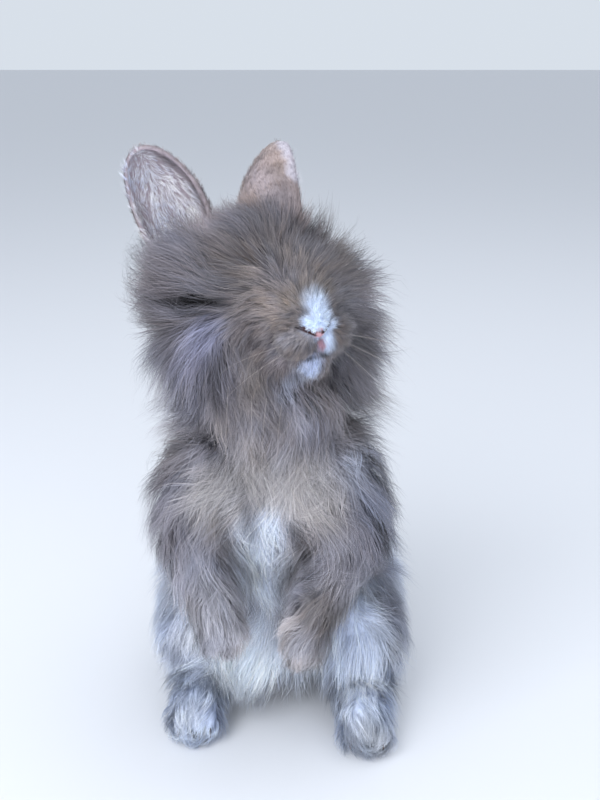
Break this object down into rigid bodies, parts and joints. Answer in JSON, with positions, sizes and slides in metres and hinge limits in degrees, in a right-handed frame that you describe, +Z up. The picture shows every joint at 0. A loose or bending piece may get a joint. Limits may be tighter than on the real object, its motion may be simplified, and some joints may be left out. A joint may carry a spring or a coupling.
{
  "type": "english angora rabbit kit model",
  "caption": "Life-size still model of a young long-coated rabbit sitting up on its hind legs, head raised and turned to its left.",
  "frame": {"origin": "middle of the bottom of the whole rabbit's box, on the floor it rests on", "axes": "+Z up; the rabbit faces -Y and its own left is +X"},
  "size_m": [0.1294, 0.1794, 0.2603],
  "materials": {
    "coat_face": "long soft fur, brown-grey with cream ticking",
    "coat_body": "long soft lilac-grey wool",
    "ear_skin": "thin ear, short fur outside, pale inside",
    "eye": "dark glossy eye",
    "coat_foreleg": "tan-brown fur",
    "coat_hind_leg": "pale lilac-beige fur"
  },
  "bodies": {
    "root": {"head": "coat_face", "neck": "coat_body", "torso": "coat_body", "tail": "coat_body", "ear_right": "ear_skin", "eye_right": "eye", "foreleg_right": "coat_foreleg", "forepaw_right": "coat_foreleg", "hind_leg_right": "coat_hind_leg", "hind_foot_right": "coat_hind_leg", "ear_left": "ear_skin", "eye_left": "eye", "foreleg_left": "coat_foreleg", "forepaw_left": "coat_foreleg", "hind_leg_left": "coat_hind_leg", "hind_foot_left": "coat_hind_leg"}
  },
  "joints": []
}
